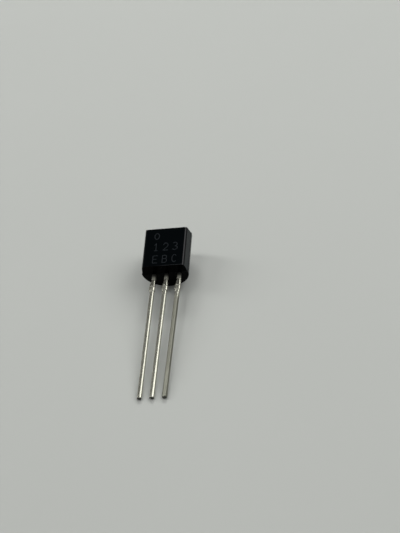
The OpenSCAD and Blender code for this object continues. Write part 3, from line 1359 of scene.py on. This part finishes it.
@dataclass
class TinnedLeadPiece(SubAssembly):
    """One lead: a tinned shank below the body and the stamped post or paddle inside it, as one mesh.

    Sizes are in millimetres.

    Attributes:
        name: Which lead it is.
        form: The shape that the leads share.
        coat: How it was cut, bent and tinned.
        exit_x: Where its middle leaves the body.
        length: Its length below the body.
    """

    name: LeadName
    form: LeadForm
    coat: LeadCoat
    exit_x: float
    length: float

    def centre_line(self) -> Mesh:
        """Draws the shank's centre line.

        Returns:
            The line, with its half width, squareness, twist and state at each station.
        """
        form, coat, widths = self.form, self.coat, self.form.widths(self.length)
        steps = math.ceil((self.length + form.root) / form.ring_step)
        evenly = {round(-form.root + i * form.ring_step, 4) for i in range(steps)}
        stations = sorted(evenly | {round(at, 4) for at, _ in widths})
        twists = [between(coat.twist, at) for at in stations]
        in_coat = [min(1.0, max(0.0, (at - form.coat_start) / form.coat_fade)) for at in stations]
        powers = [form.bare_squareness * (1 - share) + between(coat.dome, at) * share
                  for at, share in zip(stations, in_coat)]
        half = form.thickness / 2
        halves = [between(widths, at) / 2 for at in stations]
        points = [Vector((self.exit_x + between(coat.drift, at), -at,
                          reach_down((across, half), power, twist) - 2 * half))
                  for at, across, power, twist in zip(stations, halves, powers, twists)]
        states = {"bare": form.bareness(self.length), "film": form.filming(self.length), "dull": coat.dull}
        return edge_paths("centre_line", [points], layers={
            "half_width": halves, "squareness": powers, "twist": [math.radians(twist) for twist in twists],
            **{state: [between(stops, at) for at in stations] for state, stops in states.items()}})

    def shank(self) -> Shell:
        """Sweeps the shank.

        Returns:
            The shank, open at its root.
        """
        form, coat = self.form, self.coat
        swept = apply_tree(self.centre_line(), tinned_shank_tree(), {
            "Material": self.finish.build(), "Thickness": form.thickness, "Shear": form.width / 2,
            "Shear Film": form.shear_film, "Ring Step": form.ring_step, "Sides": form.sides,
            "Ripple Height": coat.ripple_height, "Ripple Length": coat.ripple_length, "Seed": coat.seed})
        made = bmesh.new()
        made.from_mesh(swept)
        bmesh.ops.remove_doubles(made, verts=made.verts, dist=WELD)
        root = [face for face in made.faces
                if all(abs(vert.co.y - form.root) < CAD_WELD for vert in face.verts)]
        bmesh.ops.delete(made, geom=root, context="FACES_ONLY")
        return made

    def post(self) -> Shell:
        """Takes the part of the CAD stamping that lies inside the body.

        Returns:
            That part, open where the shank joins it.
        """
        made = bmesh.new()
        made.from_mesh(frame["nodes"][self.name.value].data)
        made.transform(self.axes.to_package)
        bmesh.ops.remove_doubles(made, verts=made.verts, dist=CAD_WELD)
        bmesh.ops.dissolve_limit(made, angle_limit=math.radians(self.form.flat_angle), verts=made.verts,
                                 edges=made.edges)
        bmesh.ops.bisect_plane(made, geom=[*made.verts, *made.edges, *made.faces],
                               plane_co=(0, self.form.root, 0), plane_no=(0, -1, 0), clear_outer=True)
        return made

    def dress(self) -> Piece:
        """Joins the shank and the post into one closed mesh, and hides the CAD node, whose place it takes.

        Returns:
            The piece, in the row frame.
        """
        whole = self.shank()
        bare = whole.verts.layers.float["bare"]
        inner = harden(self.post(), "post")
        known = set(whole.verts)
        whole.from_mesh(inner)
        bpy.data.meshes.remove(inner)
        for vert in (vert for vert in whole.verts if vert not in known):
            vert[bare] = 1.0
        rim = [edge for edge in whole.edges if edge.is_boundary]
        bmesh.ops.triangle_fill(whole, edges=rim, use_beauty=True, use_dissolve=False)
        bmesh.ops.recalc_face_normals(whole, faces=whole.faces)
        open_edges = sum(1 for edge in whole.edges if not edge.is_manifold)
        if open_edges:
            log.warning("%s has %d open edges", self.name.value, open_edges)
        name = self.name.value.replace("_lead", "_tinned_lead")
        piece = self.lay_down(harden(whole, name), name)
        piece.data.shade_smooth()
        piece.data.set_sharp_from_angle(angle=math.radians(self.form.sharp_angle))
        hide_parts(self.name.value)
        return piece


def tinned_shank_tree() -> Tree:
    """Builds a Geometry Nodes tree: sweeps a rounded, rippled section along a centre line.

    The line's points carry half_width, squareness, twist, bare, film and dull. The section is a
    superellipse, so it goes from nearly square to domed as its power falls. What stands further out than
    the shear line is raw metal.

    Returns:
        The tree. Its inputs are the line and, in millimetres, the thickness, the shear line's distance from
        the middle with how raw the metal is beyond it, the ring step and the ripple's height and length,
        then the number of sides and the seed.
    """
    graph, takes, gives = new_group(
        "tinned shank", "GeometryNodeTree",
        {"Line": "Geometry", "Material": "Material", "Thickness": 0.4, "Shear": 0.25, "Shear Film": 0.6,
         "Ring Step": 0.05, "Sides": 32, "Ripple Height": 0.0, "Ripple Length": 1.0, "Seed": 0},
        {"Geometry": "Geometry"})
    curve = graph.node("GeometryNodeMeshToCurve", {"Mesh": takes["Line"]}).outputs[0]
    even = graph.node("GeometryNodeResampleCurve", {"Curve": curve, "Length": takes["Ring Step"]},
                      mode="LENGTH")
    swept, unit, centre = graph.sweep(even.outputs[0], takes["Sides"], caps=True)
    half_width, squareness, twist, bare, film = (
        graph.node("GeometryNodeInputNamedAttribute", {"Name": name}, data_type="FLOAT").outputs["Attribute"]
        for name in ("half_width", "squareness", "twist", "bare", "film"))
    power = graph.math("DIVIDE", 2.0, squareness)

    def bulged(part: Socket) -> Value:
        """Pushes a coordinate of the circle out to the superellipse."""
        size = graph.math("POWER", graph.math("ABSOLUTE", part), power)
        return graph.times(graph.math("SIGN", part), size)

    across, up, _ = graph.separate(unit)
    x = graph.times(bulged(across), half_width)
    z = graph.times(bulged(up), graph.times(takes["Thickness"], 0.5))
    section = graph.node("ShaderNodeVectorRotate", {"Vector": graph.combine(x, 0.0, z), "Angle": twist},
                         rotation_type="Y_AXIS")
    outline = graph.vector("ADD", centre, section.outputs[0])
    formed = graph.node("GeometryNodeSetPosition", {"Geometry": swept, "Position": outline})
    past_shear = graph.math("SUBTRACT", graph.math("ABSOLUTE", x), takes["Shear"])
    sheared = graph.times(graph.span(past_shear, 0.0, SHEAR_FADE), takes["Shear Film"])
    marked = graph.node("GeometryNodeStoreNamedAttribute",
                        {"Geometry": formed.outputs[0], "Name": "film",
                         "Value": graph.math("MAXIMUM", film, sheared)}, data_type="FLOAT", domain="POINT")
    place = graph.node("GeometryNodeInputPosition").outputs[0]
    noise = graph.noise(graph.vector("MULTIPLY", place, (RIPPLE_SQUEEZE, 1.0, RIPPLE_SQUEEZE)),
                        scale=graph.math("DIVIDE", 1.0, takes["Ripple Length"]), detail=2.0, roughness=0.45,
                        seed=takes["Seed"])
    swing = graph.times(graph.math("SUBTRACT", noise, 0.5), 2.0)
    coated = graph.math("SUBTRACT", 1.0, bare, clamp=True)
    height = graph.times(swing, graph.times(takes["Ripple Height"], coated))
    ripple = graph.scaled(graph.node("GeometryNodeInputNormal").outputs[0], height)
    rippled = graph.node("GeometryNodeSetPosition", {"Geometry": marked.outputs[0], "Offset": ripple})
    return graph.close(rippled.outputs[0], takes["Material"], gives["Geometry"])


@dataclass
class LeadRow(SubAssembly):
    """The three leads in a row.

    Attributes:
        form: The shape that they share.
        exit_x: Where the middle one leaves the body, in millimetres.
        pitch: Their spacing where they leave the body, in millimetres.
        length: Their length below the body, in millimetres.
    """

    form: LeadForm
    exit_x: float = MOUNTS["leads"]["pos_m"][0] / MM
    pitch: float = MOUNTS["leads"]["dims"]["spacing_x_mm"]
    length: float = MOUNTS["leads"]["dims"]["length_mm"]

    def dress(self) -> list[Piece]:
        """Builds the three leads."""
        return [TinnedLeadPiece(self.axes, self.finish, name, self.form, COATS[name],
                                self.exit_x + (i - 1) * self.pitch, self.length + COATS[name].cut).dress()
                for i, name in enumerate(LeadName)]


# --- The marking on the flat ---

def glyph_strokes() -> dict[str, list[list[Point2]]]:
    """Single-line strokes of the generic pin marks, in a cell one unit wide and one unit high."""
    return {
        "1": [[(0.25, 0.78), (0.5, 1.0), (0.5, 0.0)], [(0.25, 0.0), (0.75, 0.0)]],
        "2": [[*arc((0.5, 0.70), (0.42, 0.30), 170, -35), (0.08, 0.0), (0.92, 0.0)]],
        "3": [[*arc((0.45, 0.75), (0.40, 0.25), 140, -90), *arc((0.45, 0.25), (0.46, 0.25), 90, -140)]],
        "E": [[(0.9, 1.0), (0.1, 1.0), (0.1, 0.0), (0.9, 0.0)], [(0.1, 0.52), (0.72, 0.52)]],
        "B": [[(0.1, 0.0), (0.1, 1.0), *arc((0.55, 0.76), (0.30, 0.24), 90, -90),
               *arc((0.55, 0.26), (0.36, 0.26), 90, -90), (0.1, 0.0)], [(0.1, 0.52), (0.55, 0.52)]],
        "C": [arc((0.52, 0.5), (0.42, 0.5), 48, 312, 16)],
        "o": [arc((0.5, 0.5), (0.42, 0.42), 0, 360, 20)]}


@dataclass
class PinMarks(SubAssembly):
    """Generic pin marks that a laser wrote on the flat as rows of small beads, in millimetres.

    Attributes:
        flat_z: Height of the flat.
        middle: The x of the middle pin's marks.
        column_step: Distance from column to column.
        rows: Each row's text and the y of its foot.
        cell: Width and height of a character.
        bead: Diameter of a bead.
        bead_step: Distance from bead to bead.
        bead_rise: Height of a bead above the flat.
        bead_seed: Seed of the beads' uneven size.
    """

    flat_z: float
    middle: float
    column_step: float = 0.95
    rows: tuple[tuple[str, float], ...] = (("o  ", 3.28), ("123", 1.98), ("EBC", 0.50))
    cell: Point2 = (0.54, 0.86)
    bead: float = 0.085
    bead_step: float = 0.04
    bead_rise: float = 0.004
    bead_seed: int = 3

    def strokes(self) -> list[list[Vector]]:
        """Writes the rows.

        Returns:
            Every stroke of every row, on the flat.
        """
        shapes = glyph_strokes()
        made = []
        for text, foot in self.rows:
            for column, letter in enumerate(text):
                centre = self.middle + (column - 1) * self.column_step
                made += [[Vector((centre + (x - 0.5) * self.cell[0], foot + y * self.cell[1], self.flat_z))
                          for x, y in stroke] for stroke in shapes.get(letter, [])]
        return made

    def dress(self) -> Piece:
        """Builds all the beads as one mesh.

        Returns:
            The piece, in the row frame.
        """
        beads = apply_tree(edge_paths("mark_paths", self.strokes()), laser_bead_tree(), {
            "Material": self.finish.build(), "Bead": self.bead, "Step": self.bead_step,
            "Rise": self.bead_rise, "Seed": self.bead_seed})
        piece = self.lay_down(beads, "pin_marks")
        piece.data.shade_smooth()
        return piece


def laser_bead_tree() -> Tree:
    """Builds a Geometry Nodes tree: sets a flat bead at every step along the strokes.

    Returns:
        The tree. Its inputs are the strokes and, in millimetres, the bead's diameter, step and rise, then the
        seed of its uneven size.
    """
    graph, takes, gives = new_group(
        "laser beads", "GeometryNodeTree",
        {"Strokes": "Geometry", "Material": "Material", "Bead": 0.09, "Step": 0.05, "Rise": 0.005, "Seed": 0},
        {"Geometry": "Geometry"})
    curve = graph.node("GeometryNodeMeshToCurve", {"Mesh": takes["Strokes"]}).outputs[0]
    spots = graph.node("GeometryNodeCurveToPoints", {"Curve": curve, "Length": takes["Step"]}, mode="LENGTH")
    radius = graph.times(takes["Bead"], 0.5)
    ball = graph.node("GeometryNodeMeshUVSphere", {"Segments": 8, "Rings": 4, "Radius": radius}).outputs[0]
    flatten = graph.combine(1.0, 1.0, graph.math("DIVIDE", takes["Rise"], radius))
    bead = graph.node("GeometryNodeTransform", {"Geometry": ball, "Scale": flatten}).outputs[0]
    least, most = BEAD_SIZES
    size = graph.node("FunctionNodeRandomValue", {2: least, 3: most, "Seed": takes["Seed"]},
                      data_type="FLOAT").outputs[1]
    placed = graph.node("GeometryNodeInstanceOnPoints", {"Points": spots.outputs["Points"], "Instance": bead,
                                                         "Scale": graph.combine(size, size, size)})
    return graph.close(placed.outputs[0], takes["Material"], gives["Geometry"])


# --- The chip and its wires ---

@dataclass
class ChipSet:
    """The pieces sealed in the epoxy, which keep their CAD shapes and get their finishes.

    Attributes:
        axes: The package's axes.
    """

    axes: PackageAxes

    def chip_finish(self) -> PolishedSilicon:
        """Makes the chip's finish.

        Returns:
            The finish, centred on the chip's top face.
        """
        low, high = self.axes.node_box("silicon_die")
        top = self.axes.to_row @ Vector(((low.x + high.x) / 2, (low.y + high.y) / 2, high.z))
        return PolishedSilicon(name="polished silicon", slot="silicon", centre=tuple(top),
                               tilt=self.axes.tilt)

    def dress(self) -> None:
        """Gives each CAD node its material."""
        finishes = {"die_attach": DIE_SOLDER, "silicon_die": self.chip_finish(),
                    "emitter_wire": DRAWN_GOLD, "base_wire": DRAWN_GOLD}
        for node, finish in finishes.items():
            mesh = frame["nodes"][node].data
            mesh.materials.clear()
            mesh.materials.append(finish.build())


# --- The studio ---

def stand(name: str, data: bpy.types.ID, azimuth: float, elevation: float, distance: float,
          aim: Sequence[float] = (0.0, 0.0, 0.0), roll: float = 0.0) -> Piece:
    """Stands a lamp or a camera round the point that it looks at.

    Args:
        name: Its name.
        data: The lamp or camera.
        azimuth: Where it stands, in degrees from -Y towards +X.
        elevation: How high it stands, in degrees above the horizon.
        distance: How far it is from the point, in metres.
        aim: The point, in metres.
        roll: How far it is turned about its own axis, in degrees.

    Returns:
        The object.
    """
    a, e = math.radians(azimuth), math.radians(elevation)
    back = Vector((math.sin(a) * math.cos(e), -math.cos(a) * math.cos(e), math.sin(e)))
    made = link(name, data)
    made.location = Vector(aim) + back * distance
    made.rotation_mode = "QUATERNION"
    made.rotation_quaternion = (-back).to_track_quat("-Z", "Y") @ Quaternion((0, 0, 1), math.radians(roll))
    return made


@dataclass(frozen=True)
class Lamp:
    """A soft oblong white lamp that points at the part.

    Attributes:
        name: Its name.
        azimuth: Where it stands, in degrees from -Y towards +X.
        elevation: How high it stands, in degrees above the horizon.
        width: Its level side, in metres.
        height: Its other side, in metres.
        share: How much of the floor's light it gives, where 1 shows a colour as it is written.
        distance: How far it stands from the origin, in metres.
    """

    name: str
    azimuth: float
    elevation: float
    width: float
    height: float
    share: float
    distance: float = 0.5

    @property
    def power(self) -> float:
        """The power that gives the lamp's share of light on the floor below it, in watts."""
        return self.share * (math.pi * self.distance) ** 2 / math.sin(math.radians(self.elevation))

    def build(self) -> Piece:
        """Makes the lamp and aims it at the origin.

        Returns:
            The lamp.
        """
        data = bpy.data.lights.new(self.name, "AREA")
        data.shape = "RECTANGLE"
        data.size, data.size_y = self.width, self.height
        data.energy = self.power
        return stand(self.name, data, self.azimuth, self.elevation, self.distance)


@dataclass
class Studio:
    """The floor, the lamps, the sky and the camera.

    Attributes:
        surface: The floor's finish.
        lamps: The lamps.
        floor_side: Side of the floor, in metres.
        horizon: Brightness of the sky near the horizon.
        zenith: Brightness of the sky overhead.
        haze: Sines of the elevations between which the sky goes from the one to the other.
        camera_azimuth: Where the camera stands, in degrees from -Y towards +X.
        camera_elevation: How high it looks down from, in degrees.
        camera_roll: How far it is turned about its own axis, in degrees.
        camera_distance: How far it is from the point that it aims at, in millimetres.
        camera_aim: That point, in millimetres in the row frame.
        camera_clip: Nearest and furthest distance that it sees, in metres.
        lens: Focal length on a 36 mm frame, in millimetres.
    """

    surface: Finish
    lamps: tuple[Lamp, ...] = (
        Lamp("right_window", azimuth=97.0, elevation=48.0, width=0.28, height=0.36, share=0.260),
        Lamp("back_window", azimuth=137.0, elevation=42.0, width=0.20, height=0.28, share=0.125),
        Lamp("back_low", azimuth=183.0, elevation=40.0, width=0.24, height=0.08, share=0.245),
        Lamp("left_window", azimuth=253.0, elevation=39.0, width=0.11, height=0.32, share=0.182),
        Lamp("ceiling", azimuth=258.0, elevation=77.0, width=0.20, height=0.17, share=0.095))
    floor_side: float = 3.0
    horizon: float = 0.17
    zenith: float = 0.12
    haze: Point2 = (0.05, 0.40)
    camera_azimuth: float = 16.50
    camera_elevation: float = 43.91
    camera_roll: float = -15.70
    camera_distance: float = 147.7
    camera_aim: tuple[float, float, float] = (2.725, 7.341, 0.0)
    camera_clip: Point2 = (0.005, 20.0)
    lens: float = 101.3

    def build_floor(self) -> None:
        """Makes the floor just under the part."""
        half = self.floor_side / 2
        mesh = bpy.data.meshes.new("surface")
        mesh.from_pydata([(-half, -half, 0), (half, -half, 0), (half, half, 0), (-half, half, 0)], [],
                         [(0, 1, 2, 3)])
        floor = link("surface", mesh)
        floor.data.materials.append(self.surface.build())
        floor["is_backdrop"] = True

    def build_sky(self) -> None:
        """Makes a soft sky: pale round the horizon, darker overhead."""
        world = bpy.data.worlds.new("sky")
        bpy.context.scene.world = world
        world.use_nodes = True
        graph = Graph(world.node_tree)
        _, _, up = graph.separate(graph.node("ShaderNodeTexCoord").outputs["Generated"])
        level = graph.span(up, *self.haze, self.horizon, self.zenith)
        graph.feed(world.node_tree.nodes["Background"].inputs["Color"], graph.combine(level, level, level))

    def build_camera(self) -> None:
        """Makes the camera and looks through it."""
        data = bpy.data.cameras.new("camera")
        data.lens = self.lens
        data.clip_start, data.clip_end = self.camera_clip
        bpy.context.scene.camera = stand("camera", data, self.camera_azimuth, self.camera_elevation,
                                         self.camera_distance * MM, Vector(self.camera_aim) * MM,
                                         self.camera_roll)

    def build(self) -> None:
        """Makes the whole studio."""
        self.build_camera()
        self.build_floor()
        self.build_sky()
        for lamp in self.lamps:
            lamp.build()
        bpy.context.scene.view_settings.view_transform = "Standard"


# --- Building it all ---

def report(pieces: Sequence[Piece]) -> None:
    """Logs each piece with its number of faces."""
    for piece in pieces:
        log.info("%s: %d faces", piece.name, len(piece.data.polygons))


def corners(box: tuple[Vector, Vector]) -> list[list[float]]:
    """A box as plain lists of numbers."""
    return [list(corner) for corner in box]


def main() -> None:
    """Builds the studio, then dresses the body, the leads, the marks and the chip, in that order."""
    logging.basicConfig(level=logging.INFO, format="%(name)s: %(message)s")
    cad_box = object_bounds()
    form = LeadForm()
    axes = PackageAxes.from_mounts(form.thickness)
    Studio(PALE_SURFACE).build()

    body = MouldedBody(axes, MouldedEpoxy(name="moulded epoxy", slot="epoxy"))
    report(body.dress())
    row = LeadRow(axes, TinnedLead(name="tinned metal", slot="tinned_lead"), form)
    report(row.dress())
    report([PinMarks(axes, LASER_MARK, body.front_depth, row.exit_x).dress()])
    ChipSet(axes).dress()
    log.info("the chip, its solder and its two wires are dressed")

    {"cad": corners(cad_box), "visual": corners(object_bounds())}


if __name__ == "__main__":
    main()
